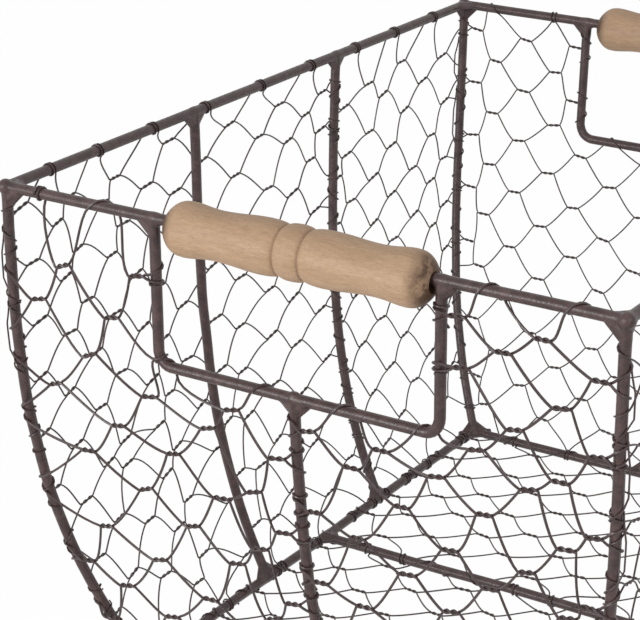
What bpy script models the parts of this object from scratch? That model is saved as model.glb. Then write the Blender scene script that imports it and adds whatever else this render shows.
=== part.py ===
"""Rectangular wire basket: welded rod frame, hexagonal wire netting and two turned wooden grips.

Metres, +Z up. The basket stands on Z = 0 with its centre on the Z axis. Its long sides run along Y, and its
short ends, each with a hand hole and a grip, face -Y (near) and +Y (far).
"""

import math

import bmesh
import bpy
from mathutils import Vector

mm = 0.001

# Overall sizes, between the centre lines of the rods
rim_width = 300 * mm
rim_length = 420 * mm
rim_rise = 250 * mm
base_width = 226 * mm
base_length = 338 * mm

# How the walls curve: they fall nearly straight at first and turn in towards the base
side_wall_power = 3.5
end_wall_power = 2.3

# Rods
rod_diameter = 5 * mm
weld_gap = 0.3 * mm
base_corner_radius = 9 * mm
base_end_return = 24 * mm
upright_rim_spacing = 133 * mm
upright_foot_spacing = 114 * mm

# Hand holes
hand_hole_width = 140 * mm
hand_hole_depth = 68 * mm
hand_hole_corner_radius = 8 * mm

# Grips
grip_end_clearance = 3.2 * mm
grip_diameter = 24.2 * mm
grip_bore = 9 * mm
grip_hang_gap = 0.3 * mm

# Netting
cell_height = 38 * mm
cell_width = 28 * mm
twist_length = 10 * mm
strand_width = 1.35 * mm
strand_height = 1.15 * mm
twist_width = 1.9 * mm
net_gap = 0.3 * mm
floor_net_clearance = 1.1 * mm
shortest_strand = 3 * mm

# Counts of facets and steps
rod_sides = 10
grip_sides = 24
post_steps = 10
bend_steps = 5
border_steps = 12

# Angles
crease_angle = math.radians(50)
straight_through_angle = math.radians(5)

# How far along X both grips have slid on their rods, as a share of the clearance at one end
grip_slide_share = 0.8

# Outline of half a grip: along the axis as a share of half its length, out from it as a share of its radius
grip_outline_shares = [
    (0.0, 1.0),
    (0.045, 0.985),
    (0.078, 0.94),
    (0.096, 0.875),
    (0.122, 0.94),
    (0.165, 0.97),
    (0.24, 0.995),
    (0.36, 0.97),
    (0.48, 0.915),
    (0.6, 0.89),
    (0.7, 0.92),
    (0.8, 0.99),
    (0.87, 0.99),
    (0.92, 0.9),
    (0.96, 0.72),
    (0.985, 0.55),
    (1.0, 0.44),
]

# Worked out from the sizes above
rod_radius = rod_diameter / 2
base_z = rod_radius * math.cos(math.pi / rod_sides)
rim_z = base_z + rim_rise
seat = rod_radius + weld_gap
foot_inset = base_corner_radius * (1 - math.sqrt(1 / 2))
grip_length = hand_hole_width - rod_diameter - 2 * grip_end_clearance
grip_slide = grip_slide_share * grip_end_clearance
seat_of_net = rod_radius + net_gap
upwards = Vector((0, 0, 1))

paint = ("frame_paint", (0.075, 0.055, 0.047, 1.0), 0.42, 0.35)
net_paint = ("net_paint", (0.070, 0.054, 0.048, 1.0), 0.45, 0.35)
wood = ("turned_wood", (0.66, 0.45, 0.27, 1.0), 0.55, 0.0)


def clear_scene():
    for item in list(bpy.data.objects):
        bpy.data.objects.remove(item, do_unlink=True)


def material(node, look):
    """A material of this node's own, named after the node and its finish."""
    finish, colour, roughness, metallic = look
    made = bpy.data.materials.new(f"{node}_{finish}")
    made.use_nodes = True
    shader = made.node_tree.nodes["Principled BSDF"]
    shader.inputs["Base Color"].default_value = colour
    shader.inputs["Roughness"].default_value = roughness
    shader.inputs["Metallic"].default_value = metallic
    made.diffuse_color = colour
    return made


def add_object(node, shape, look, smooth_below=crease_angle, parent=None):
    """Turns a bmesh into a named object with its own material."""
    bmesh.ops.recalc_face_normals(shape, faces=shape.faces)
    mesh = bpy.data.meshes.new(node)
    shape.to_mesh(mesh)
    shape.free()
    mesh.shade_smooth()
    mesh.set_sharp_from_angle(angle=smooth_below)
    mesh.materials.append(material(node, look))
    made = bpy.data.objects.new(node, mesh)
    bpy.context.collection.objects.link(made)
    made.parent = parent
    return made


def half_width(drop):
    """Half the basket's width where the wall has dropped by this share of the rise, 0 at the rim."""
    return rim_width / 2 + (base_width - rim_width) / 2 * drop**side_wall_power


def half_length(drop):
    return rim_length / 2 + (base_length - rim_length) / 2 * drop**end_wall_power


def drop_at(z):
    return max(0, rim_z - z) / rim_rise


def side_wall(side):
    """The long wall on this side, -1 or +1 in X, as a function of a place along Y and a height."""
    return lambda y, z: Vector((side * half_width(drop_at(z)), y, z))


def end_wall(end):
    """The short wall at this end, -1 or +1 in Y, as a function of a place along X and a height."""
    return lambda x, z: Vector((x, end * half_length(drop_at(z)), z))


def floor_plane(x, y):
    return Vector((x, y, base_z))


def directions(points):
    """The direction of travel at each point of a path."""
    runs = [(b - a).normalized() for a, b in zip(points, points[1:])]
    inner = [(a + b).normalized() for a, b in zip(runs, runs[1:])]
    return [runs[0]] + inner + [runs[-1]]


def slide_to(corner, direction, level):
    """Moves a ring's corner along the rod until it meets a horizontal plane."""
    return corner + direction * ((level - corner.z) / direction.z)


def rod(points, facing, start_level=None, end_level=None):
    """A round rod along the points. A facet looks along facing; an end may be cut to a horizontal level."""
    shape = bmesh.new()
    along = directions(points)
    rings = []
    for index, (centre, direction) in enumerate(zip(points, along)):
        out = (facing - direction * facing.dot(direction)).normalized()
        across = direction.cross(out)
        corners = []
        for side in range(rod_sides):
            turn = 2 * math.pi * (side + 1 / 2) / rod_sides
            corners.append(centre + rod_radius * (out * math.cos(turn) + across * math.sin(turn)))
        if index == 0 and start_level is not None:
            corners = [slide_to(corner, direction, start_level) for corner in corners]
        if index == len(points) - 1 and end_level is not None:
            corners = [slide_to(corner, direction, end_level) for corner in corners]
        rings.append([shape.verts.new(corner) for corner in corners])
    for low, high in zip(rings, rings[1:]):
        for side in range(rod_sides):
            following = (side + 1) % rod_sides
            shape.faces.new((low[side], low[following], high[following], high[side]))
    shape.faces.new(rings[0])
    shape.faces.new(rings[-1])
    return shape


def rounded(corners, radius, place):
    """A path through flat corners with its bends rounded to a radius, each point put in space by place."""
    path = [corners[0]]
    for before, corner, after in zip(corners, corners[1:], corners[2:]):
        back = (Vector(before) - Vector(corner)).normalized()
        ahead = (Vector(after) - Vector(corner)).normalized()
        half_bend = back.angle(ahead) / 2
        centre = Vector(corner) + (back + ahead).normalized() * (radius / math.sin(half_bend))
        first = Vector(corner) + back * (radius / math.tan(half_bend)) - centre
        last = Vector(corner) + ahead * (radius / math.tan(half_bend)) - centre
        sweep = first.angle(last)
        for step in range(bend_steps + 1):
            done = sweep * step / bend_steps
            spoke = (first * math.sin(sweep - done) + last * math.sin(done)) / math.sin(sweep)
            path.append(tuple(centre + spoke))
    path.append(corners[-1])
    return [place(*point) for point in path]


def rim_rods():
    long_end = rim_length / 2 + rod_radius
    short_end = rim_width / 2 - seat
    for name, side in (("left_rim_rod", -1), ("right_rim_rod", 1)):
        ends = [Vector((side * rim_width / 2, y, rim_z)) for y in (-long_end, long_end)]
        add_object(name, rod(ends, upwards), paint)
    for name, end in (("near_rim_rod", -1), ("far_rim_rod", 1)):
        ends = [Vector((x, end * rim_length / 2, rim_z)) for x in (-short_end, short_end)]
        add_object(name, rod(ends, upwards), paint)


def post_path(top_xy, foot_xy, power_xy):
    """A rod that hangs from the rim and follows the walls' curves down to the base."""
    points = []
    top, foot = rim_z - seat, base_z + seat
    for step in range(post_steps + 1):
        z = top + (foot - top) * step / post_steps
        drop = drop_at(z)
        x, y = (a + (b - a) * drop**power for a, b, power in zip(top_xy, foot_xy, power_xy))
        points.append(Vector((x, y, z)))
    return points


def corner_posts():
    for end_name, end in (("near", -1), ("far", 1)):
        for side_name, side in (("left", -1), ("right", 1)):
            top = (side * rim_width / 2, end * rim_length / 2)
            foot = (side * (base_width / 2 - foot_inset), end * (base_length / 2 - foot_inset))
            path = post_path(top, foot, (side_wall_power, end_wall_power))
            shape = rod(path, Vector((side, 0, 0)), rim_z - seat, base_z + seat)
            add_object(f"{end_name}_{side_name}_post", shape, paint)


def side_uprights():
    for side_name, side in (("left", -1), ("right", 1)):
        for end_name, end in (("near", -1), ("far", 1)):
            top = (side * rim_width / 2, end * upright_rim_spacing / 2)
            foot = (side * base_width / 2, end * upright_foot_spacing / 2)
            path = post_path(top, foot, (side_wall_power, 1))
            shape = rod(path, Vector((side, 0, 0)), rim_z - seat, base_z + seat)
            add_object(f"{side_name}_{end_name}_upright", shape, paint)


def hand_hole_rods():
    for name, end in (("near_hand_hole_rod", -1), ("far_hand_hole_rod", 1)):
        across, top, low = hand_hole_width / 2, rim_z - seat, rim_z - hand_hole_depth
        corners = [(-across, top), (-across, low), (across, low), (across, top)]
        path = rounded(corners, hand_hole_corner_radius, end_wall(end))
        shape = rod(path, Vector((0, end, 0)), rim_z - seat, rim_z - seat)
        add_object(name, shape, paint)


def centre_posts():
    top = rim_z - hand_hole_depth - seat
    foot = base_z + seat
    for name, end in (("near_centre_post", -1), ("far_centre_post", 1)):
        wall = end_wall(end)
        path = [wall(0, top + (foot - top) * step / post_steps) for step in range(post_steps + 1)]
        add_object(name, rod(path, Vector((0, end, 0)), top, foot), paint)


def base_rods():
    across, along = base_width / 2, base_length / 2
    for name, end in (("near_base_rod", -1), ("far_base_rod", 1)):
        reach = along - base_end_return
        corners = [(-across, end * reach), (-across, end * along), (across, end * along)]
        corners.append((across, end * reach))
        path = rounded(corners, base_corner_radius, floor_plane)
        add_object(name, rod(path, upwards), paint)
    for name, side in (("left_base_rod", -1), ("right_base_rod", 1)):
        reach = along - base_end_return - weld_gap
        ends = [Vector((side * across, y, base_z)) for y in (-reach, reach)]
        add_object(name, rod(ends, upwards), paint)
    ends = [Vector((x, 0, base_z)) for x in (-across + seat, across - seat)]
    add_object("floor_cross_rod", rod(ends, upwards), paint)


def inside(point, border):
    """Whether a flat point lies inside a closed border, by counting the border's crossings."""
    u, v = point
    crossings = 0
    for (u1, v1), (u2, v2) in zip(border, border[1:] + border[:1]):
        if (v1 > v) != (v2 > v) and u < u1 + (u2 - u1) * (v - v1) / (v2 - v1):
            crossings += 1
    return crossings % 2 == 1


def crossing(inner, outer, border):
    """The point nearest to inner where the line from inner to outer meets the border."""
    best = None
    (u0, v0), (u1, v1) = inner, outer
    for (p, q), (r, s) in zip(border, border[1:] + border[:1]):
        across = (u1 - u0) * (s - q) - (v1 - v0) * (r - p)
        if across == 0:
            continue
        t = ((p - u0) * (s - q) - (q - v0) * (r - p)) / across
        w = ((p - u0) * (v1 - v0) - (q - v0) * (u1 - u0)) / across
        if 0 <= t <= 1 and 0 <= w <= 1 and (best is None or t < best):
            best = t
    return None if best is None else (u0 + (u1 - u0) * best, v0 + (v1 - v0) * best)


def lattice(border, middle):
    """The knots and strands of hexagonal netting that covers a border, centred on middle."""
    reach = max(math.dist(point, middle) for point in border)
    columns = math.ceil(reach / cell_width) + 1
    rows = math.ceil(reach / cell_height) + 1
    knots, strands = {}, []
    for column in range(-columns, columns + 1):
        for row in range(-rows, rows + 1):
            v = middle[1] + (row + (column % 2) / 2) * cell_height
            for hand in (-1, 1):
                knots[column, row, hand] = (middle[0] + column * cell_width + hand * twist_length / 2, v)
            strands.append(((column, row, -1), (column, row, 1), twist_width))
            upper = row if column % 2 == 0 else row + 1
            for other in (upper - 1, upper):
                strands.append(((column, row, 1), (column + 1, other, -1), strand_width))
    known = [s for s in strands if s[0] in knots and s[1] in knots]
    return knots, known


def clipped(border, middle):
    """The lattice cut at the border: its strands end there, and what the cut leaves loose is dropped."""
    knots, strands = lattice(border, middle)
    kept = {key: place for key, place in knots.items() if inside(place, border)}
    joined = []
    for first, second, width in strands:
        if first not in kept and second not in kept:
            continue
        if first not in kept:
            first, second = second, first
        met = crossing(kept[first], knots[second], border)
        if met is None:
            joined.append((first, second, width))
        elif math.dist(kept[first], met) > shortest_strand:
            kept[first, second] = met
            joined.append((first, (first, second), width))
    return largest_piece(kept, joined)


def largest_piece(knots, strands):
    """The largest set of knots that hang together, and the strands between them."""
    touching = {key: [] for key in knots}
    for first, second, _ in strands:
        touching[first].append(second)
        touching[second].append(first)
    best, seen = set(), set()
    for start in knots:
        if start in seen:
            continue
        group, waiting = {start}, [start]
        while waiting:
            for other in touching[waiting.pop()]:
                if other not in group:
                    group.add(other)
                    waiting.append(other)
        seen |= group
        best = max(best, group, key=len)
    return {key: knots[key] for key in knots if key in best}, [s for s in strands if s[0] in best]


def meet(centre, arm, following):
    """Where the left edge of one strand meets the right edge of the next one round their shared knot."""
    _, _, direction, width = arm
    _, _, other, other_width = following
    left_edge = centre + Vector((-direction.y, direction.x)) * width / 2
    turn = direction.cross(other)
    if abs(turn) < math.sin(straight_through_angle):
        return left_edge
    return left_edge + direction * (other_width + width * direction.dot(other)) / (2 * turn)


def arms_of(knots, strands):
    """For each knot, its strands in order round it: angle, other knot, direction and width."""
    arms = {key: [] for key in knots}
    for first, second, width in strands:
        ahead = (Vector(knots[second]) - Vector(knots[first])).normalized()
        arms[first].append((math.atan2(ahead.y, ahead.x), second, ahead, width))
        arms[second].append((math.atan2(-ahead.y, -ahead.x), first, -ahead, width))
    return {key: sorted(around, key=lambda arm: arm[0]) for key, around in arms.items()}


def netting(border, middle, place, outward, lift):
    """A piece of netting as one solid: flat underneath, lift off the surface, ridged on each strand."""
    knots, strands = clipped(border, middle)
    shape = bmesh.new()

    def corner(flat, height):
        return shape.verts.new(place(*flat) + outward(*flat) * height)

    ridges, edges = {}, {}
    for key, around in arms_of(knots, strands).items():
        centre = Vector(knots[key])
        ridges[key] = corner(centre, lift + strand_height)
        if len(around) == 1:
            _, other, ahead, width = around[0]
            left = Vector((-ahead.y, ahead.x)) * width / 2
            edges[key, other] = (corner(centre + left, lift), corner(centre - left, lift))
            shape.faces.new((*edges[key, other], ridges[key]))
            continue
        corners = [corner(meet(centre, *pair), lift) for pair in zip(around, around[1:] + around[:1])]
        for index, arm in enumerate(around):
            edges[key, arm[1]] = (corners[index], corners[index - 1])
        if len(around) > 2:
            shape.faces.new(corners)
    for first, second, _ in strands:
        (left, right), (far_right, far_left) = edges[first, second], edges[second, first]
        shape.faces.new((left, far_left, ridges[second], ridges[first]))
        shape.faces.new((ridges[first], ridges[second], far_right, right))
        shape.faces.new((right, far_right, far_left, left))
    bmesh.ops.triangulate(shape, faces=shape.faces)
    return shape


def wall_normal(wall, level, out):
    """The outward direction of a wall, as a function of a place on it."""

    def outward(place, z):
        slope = wall(place, z + rod_radius) - wall(place, z - rod_radius)
        normal = slope.cross(level).normalized()
        return normal if normal.dot(out) > 0 else -normal

    return outward


def levels():
    """Heights from the rim down to the base, close enough to follow the walls' curves."""
    return [rim_z - rim_rise * step / border_steps for step in range(border_steps + 1)]


def side_nets():
    for name, side in (("left_side_net", -1), ("right_side_net", 1)):
        near = [(-half_length(drop_at(z)), z) for z in levels()]
        far = [(-y, z) for y, z in reversed(near)]
        wall = side_wall(side)
        outward = wall_normal(wall, Vector((0, 1, 0)), Vector((side, 0, 0)))
        middle = (0, base_z + rim_rise / 2)
        add_object(name, netting(near + far, middle, wall, outward, seat_of_net), net_paint)


def end_nets():
    seam = (twist_width + net_gap) / 2
    low, across = rim_z - hand_hole_depth, hand_hole_width / 2
    middle_z = base_z + rim_rise / 2
    for end_name, end in (("near", -1), ("far", 1)):
        wall = end_wall(end)
        outward = wall_normal(wall, Vector((1, 0, 0)), Vector((0, end, 0)))
        for side_name, side in (("left", -1), ("right", 1)):
            border = [(side * half_width(drop_at(z)), z) for z in levels()]
            border += [(side * seam, base_z), (side * seam, low)]
            border += [(side * across, low), (side * across, rim_z)]
            middle = (side * (across + cell_width / 2), middle_z)
            shape = netting(border, middle, wall, outward, seat_of_net)
            add_object(f"{end_name}_{side_name}_net", shape, net_paint)


def floor_nets():
    inset = rod_radius + floor_net_clearance
    across = base_width / 2 - inset
    for name, end in (("near_floor_net", -1), ("far_floor_net", 1)):
        close, away = end * inset, end * (base_length / 2 - inset)
        border = [(-across, close), (across, close), (across, away), (-across, away)]
        middle = (0, (close + away) / 2)
        shape = netting(border, middle, floor_plane, lambda x, y: upwards, -strand_height / 2)
        add_object(name, shape, net_paint)


def grip_shape():
    """A turned grip along X, centred on its own axis, with its bore cut through."""
    shape = bmesh.new()
    half, radius = grip_length / 2, grip_diameter / 2
    outline = [(-x * half, r * radius) for x, r in reversed(grip_outline_shares[1:])]
    outline += [(x * half, r * radius) for x, r in grip_outline_shares]
    outline += [(half, grip_bore / 2), (-half, grip_bore / 2)]
    rings = []
    for x, r in outline:
        turns = [2 * math.pi * side / grip_sides for side in range(grip_sides)]
        rings.append([shape.verts.new((x, r * math.sin(turn), r * math.cos(turn))) for turn in turns])
    for low, high in zip(rings, rings[1:] + rings[:1]):
        for side in range(grip_sides):
            following = (side + 1) % grip_sides
            shape.faces.new((low[side], low[following], high[following], high[side]))
    return shape


def grips():
    hang = grip_bore / 2 - rod_radius - grip_hang_gap
    for name, end in (("near_grip", -1), ("far_grip", 1)):
        axle = bpy.data.objects.new(f"{name}_axis", None)
        axle.location = (grip_slide, end * rim_length / 2, rim_z - hang)
        bpy.context.collection.objects.link(axle)
        add_object(name, grip_shape(), wood, parent=axle)


def main():
    clear_scene()
    rim_rods()
    corner_posts()
    side_uprights()
    hand_hole_rods()
    centre_posts()
    base_rods()
    side_nets()
    end_nets()
    floor_nets()
    grips()


main()
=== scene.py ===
# %% [markdown]
# # A wire basket with wooden grips
# The basket is a frame of 5 mm steel rods, welded and painted brown. Its walls and floor are hexagonal
# netting, twisted from wire about 1 mm thick, whose ends are wound round the rods. Two turned wooden grips
# are threaded on the rim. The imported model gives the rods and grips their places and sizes, so each piece
# below is built where the model has it. Chance and noise have fixed seeds, so every run gives the same
# basket.

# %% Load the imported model
import math
import random

import bmesh
import bpy
from mathutils import Matrix, Vector, noise


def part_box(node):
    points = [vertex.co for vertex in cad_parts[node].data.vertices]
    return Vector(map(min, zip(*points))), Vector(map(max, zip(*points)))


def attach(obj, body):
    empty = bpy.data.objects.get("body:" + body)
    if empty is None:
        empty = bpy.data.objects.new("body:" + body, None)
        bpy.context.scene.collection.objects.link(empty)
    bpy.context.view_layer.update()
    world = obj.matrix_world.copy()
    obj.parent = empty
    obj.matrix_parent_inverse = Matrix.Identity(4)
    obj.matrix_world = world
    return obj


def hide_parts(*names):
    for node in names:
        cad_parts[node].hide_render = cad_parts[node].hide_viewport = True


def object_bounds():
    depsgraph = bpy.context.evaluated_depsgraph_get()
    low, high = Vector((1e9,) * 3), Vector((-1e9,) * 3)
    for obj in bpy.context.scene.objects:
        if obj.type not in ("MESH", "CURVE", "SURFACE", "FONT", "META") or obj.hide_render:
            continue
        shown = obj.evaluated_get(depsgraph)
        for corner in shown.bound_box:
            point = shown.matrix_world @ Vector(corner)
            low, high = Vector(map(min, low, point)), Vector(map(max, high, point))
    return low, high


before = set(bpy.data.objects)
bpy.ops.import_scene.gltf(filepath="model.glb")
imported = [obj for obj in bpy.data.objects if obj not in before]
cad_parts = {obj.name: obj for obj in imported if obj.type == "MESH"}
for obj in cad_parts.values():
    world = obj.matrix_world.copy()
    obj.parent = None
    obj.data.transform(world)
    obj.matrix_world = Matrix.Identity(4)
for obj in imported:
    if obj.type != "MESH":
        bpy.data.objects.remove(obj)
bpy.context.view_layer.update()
mm = 0.001
noise_seed = 2
noise.seed_set(noise_seed)
end_names = {-1: "near", 1: "far"}
side_names = {-1: "left", 1: "right"}

# %% [markdown]
# ## Sizes read from the model
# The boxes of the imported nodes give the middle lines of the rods, so nothing here has to be measured twice.
# How a wall curves isn't in a box, so the two powers of those curves are written down: a long wall drops
# nearly straight and turns in late, and a short wall turns in earlier.

# %% Middle lines of the rods
def middle_of(node):
    low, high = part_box(node)
    return (low + high) / 2


rim_low, rim_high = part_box("right_rim_rod")
rod_radius = (rim_high.x - rim_low.x) / 2
rim_half_width = middle_of("right_rim_rod").x
rim_half_length = -middle_of("near_rim_rod").y
rim_z = middle_of("right_rim_rod").z
base_half_width = middle_of("right_base_rod").x
base_half_length = -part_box("near_base_rod")[0].y - rod_radius
base_z = middle_of("right_base_rod").z
rise = rim_z - base_z
side_wall_power = 3.5
end_wall_power = 2.3
base_corner_radius = 9 * mm
base_joint_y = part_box("far_base_rod")[0].y
print("rods", round(rod_radius * 2 / mm, 2), "mm thick, rim at", round(rim_z / mm, 1), "mm")

# %% Uprights and hand holes
upright_low, upright_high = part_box("right_far_upright")
upright_top_y = upright_high.y - rod_radius
upright_foot_y = upright_low.y + rod_radius
hole_low, hole_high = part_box("near_hand_hole_rod")
hole_half_width = hole_high.x - rod_radius
hole_z = hole_low.z + rod_radius
hole_corner_radius = 8 * mm
print("hand hole", round(2 * hole_half_width / mm, 1), "by", round((rim_z - hole_z) / mm, 1), "mm")

# %% The walls as surfaces
def drop_at(z):
    """How far down the wall a height is: 0 at the rim, 1 at the base."""
    return min(1, max(0, rim_z - z) / rise)


def half_width(z):
    return rim_half_width + (base_half_width - rim_half_width) * drop_at(z) ** side_wall_power


def half_length(z):
    return rim_half_length + (base_half_length - rim_half_length) * drop_at(z) ** end_wall_power


def slope_of(half_size, z, step=1 * mm):
    """How much wider a wall gets with height."""
    return (half_size(z + step) - half_size(z - step)) / (2 * step)


def end_wall(end):
    """A short wall: a place along X and a height give a point and the way out of the basket."""

    def place(x, z):
        return Vector((x, end * half_length(z), z)), Vector((0, end, -slope_of(half_length, z))).normalized()

    return place


def side_wall(side):
    """A long wall: a place along Y and a height give a point and the way out of the basket."""

    def place(y, z):
        return Vector((side * half_width(z), y, z)), Vector((side, 0, -slope_of(half_width, z))).normalized()

    return place


def floor_plane(x, y):
    return Vector((x, y, base_z)), Vector((0, 0, 1))


print("half way down, the basket is", round(2 * half_width(rim_z / 2) / mm), "mm wide")

# %% [markdown]
# ## Camera
# The photograph looks down at one corner from a little over a metre away with a long lens, and cuts the
# basket off on the right and at the bottom. The place and the lens were found by matching the rods' ends to
# the photograph. Building it from three plain turns keeps it easy to change: round the basket, down, and a
# slight tilt.

# %% Set the camera
def add_object(name, data):
    """Puts an object with this data in the scene."""
    made = bpy.data.objects.new(name, data)
    bpy.context.collection.objects.link(made)
    return made


camera_place_mm = (475.7, -950.7, 560.7)
degrees_round, degrees_down, degrees_tilted = 31.96, 20.86, 0.45
camera_data = bpy.data.cameras.new("photo_camera")
camera_data.sensor_width = 36
camera_data.lens = 128.07
camera_data.clip_start = 0.05
camera = add_object("photo_camera", camera_data)
camera.matrix_world = (
    Matrix.Translation(Vector(camera_place_mm) * mm)
    @ Matrix.Rotation(math.radians(degrees_round), 4, "Z")
    @ Matrix.Rotation(math.radians(90 - degrees_down), 4, "X")
    @ Matrix.Rotation(math.radians(degrees_tilted), 4, "Z")
)
bpy.context.scene.camera = camera
print("camera", [round(x, 3) for x in camera.location])

# %% [markdown]
# ## Helpers for materials
# A colour is written as the hex value that a screen shows, and turned to the linear value that a shader
# needs. A pattern's scale comes from the size of its features in millimetres.

# %% Colour and scale
def colour(hex_value):
    """A screen colour such as 4a3e3a as linear red, green, blue and alpha."""
    parts = [int(hex_value[at : at + 2], 16) / 255 for at in (0, 2, 4)]
    return (*[c / 12.92 if c <= 0.04045 else ((c + 0.055) / 1.055) ** 2.4 for c in parts], 1)


def per(size_mm):
    """The scale at which a noise has features of this size."""
    return 1 / (size_mm * mm)


print("4a3e3a is", [round(c, 3) for c in colour("4a3e3a")], "and 5 mm features have scale", per(5))

# %% Add and link nodes
def add_node(tree, kind, settings=None, **inputs):
    """Adds a node. Inputs are values, or output sockets to link; settings are the node's own properties."""
    node = tree.nodes.new(kind)
    for name, value in (settings or {}).items():
        setattr(node, name, value)
    for name, value in inputs.items():
        key = int(name[1:]) if name[0] == "i" and name[1:].isdigit() else name.replace("_", " ")
        socket = node.inputs[key]
        if isinstance(value, bpy.types.NodeSocket):
            tree.links.new(value, socket)
        else:
            socket.default_value = value
    return node


def ramp(tree, factor, stops):
    """A colour ramp from a list of places and hex colours."""
    node = add_node(tree, "ShaderNodeValToRGB", i0=factor)
    while len(node.color_ramp.elements) < len(stops):
        node.color_ramp.elements.new(1)
    for element, (place, value) in zip(node.color_ramp.elements, stops):
        element.position = place
        element.color = colour(value)
    return node.outputs["Color"]


def spread(tree, value, low, high, to_low, to_high):
    """Stretches one range of values to another and holds it at the ends."""
    node = add_node(tree, "ShaderNodeMapRange", i0=value, i1=low, i2=high, i3=to_low, i4=to_high)
    return node.outputs[0]


print("a node's inputs are given by name, or as i and a number")

# %% Patterns, mixes and sums
def fine_noise(tree, where, size_mm, detail, roughness):
    """A noise with features of this size."""
    return add_node(
        tree, "ShaderNodeTexNoise", Vector=where, Scale=per(size_mm), Detail=detail, Roughness=roughness
    ).outputs[0]


def between(tree, share, first, second):
    """A value between two others."""
    return add_node(tree, "ShaderNodeMix", {"data_type": "FLOAT"}, i0=share, i2=first, i3=second).outputs[0]


def tinted(tree, share, base, hex_value):
    """A colour with another laid over it."""
    return add_node(
        tree, "ShaderNodeMix", {"data_type": "RGBA"}, i0=share, i6=base, i7=colour(hex_value)
    ).outputs[2]


def reckon(tree, operation, *values, clamp=False):
    """A sum on one or two values."""
    inputs = {f"i{index}": value for index, value in enumerate(values)}
    return add_node(tree, "ShaderNodeMath", {"operation": operation, "use_clamp": clamp}, **inputs).outputs[0]


def stretched(tree, where, **settings):
    """The same place moved or scaled."""
    return add_node(tree, "ShaderNodeMapping", Vector=where, **settings).outputs[0]


print("noises, mixes and sums each give the socket of their result")

# %% Surfaces
def finish_surface(tree, shader, base, rough, skin, skin_strength, skin_depth, shine):
    """Links a colour, a roughness and a height to a surface."""
    bump = add_node(tree, "ShaderNodeBump", Strength=skin_strength, Distance=skin_depth, Height=skin)
    for name, value in (("Base Color", base), ("Roughness", rough), ("Normal", bump.outputs[0])):
        tree.links.new(value, shader.inputs[name])
    shader.inputs["Specular IOR Level"].default_value = shine


def new_material(name):
    made = bpy.data.materials.new(name)
    made.use_nodes = True
    return made, made.node_tree, made.node_tree.nodes["Principled BSDF"]


print("a surface has a colour, a roughness and a height")

# %% [markdown]
# ## Brown paint
# The frame is mild steel under one coat of dark brown satin paint, dipped or sprayed over the welds and the
# netting alike. Paint on drawn rod isn't smooth: it is slightly mottled, and its grainy skin breaks every
# highlight into specks. A broad noise varies the colour, and two fine noises give the skin. The real specks
# are about 0.2 mm across, but they are drawn at 0.5 mm, the finest that shows at this size.

# %% Satin paint on steel rod
def satin_paint(name, dark, middle, pale, skin_depth_mm):
    made, tree, shader = new_material(name)
    where = add_node(tree, "ShaderNodeTexCoord").outputs["Object"]
    broad = fine_noise(tree, where, 5, 4.0, 0.6)
    grain = fine_noise(tree, where, 0.5, 2.0, 0.6)
    flakes = fine_noise(tree, where, 1.1, 3.0, 0.7)
    shade = ramp(tree, between(tree, 0.35, broad, grain), [(0.36, dark), (0.5, middle), (0.66, pale)])
    rough = spread(tree, flakes, 0.35, 0.65, 0.26, 0.5)
    skin = between(tree, 0.5, grain, flakes)
    finish_surface(tree, shader, shade, rough, skin, 0.7, skin_depth_mm * mm, 0.5)
    return made


rod_paint = satin_paint("brown_satin_paint_on_steel_rod", "322221", "43302e", "594441", 0.2)
wire_paint = satin_paint("brown_satin_paint_on_wire", "362827", "3f2f2e", "493836", 0.02)
print("materials", rod_paint.name, wire_paint.name)

# %% [markdown]
# ## Turned beech
# Each grip is turned from a pale close-grained wood such as beech, sanded and left without varnish. The eye
# sees a warm pale tan, fine lines that run along the grip, short dark flecks, faint grey smudges from
# handling, and a brown darkening round each end of the bore. This darkening is partly a real scorch at the bore
# and partly painted shade on the rounded ends. The lines come from a noise that is stretched along the grip.
# The smudges are a broad noise. The scorch and painted shade are a ramp on the distance from the bore and from
# the ends, broken up by noise. Painted shade darkens the two grooves beside the bead.

# %% Beech, turned and sanded
groove_place = 6.15 * mm
# The darkened ends: partly a real scorch at the bore and partly painted shade on the rounded ends.
scorch_and_shade_starts, scorch_and_shade_full = 8.5 * mm, 1.5 * mm
scorch_and_shade_inside, scorch_and_shade_outside = 7 * mm, 16 * mm
scorch_and_shade_strength = 2.4


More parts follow.
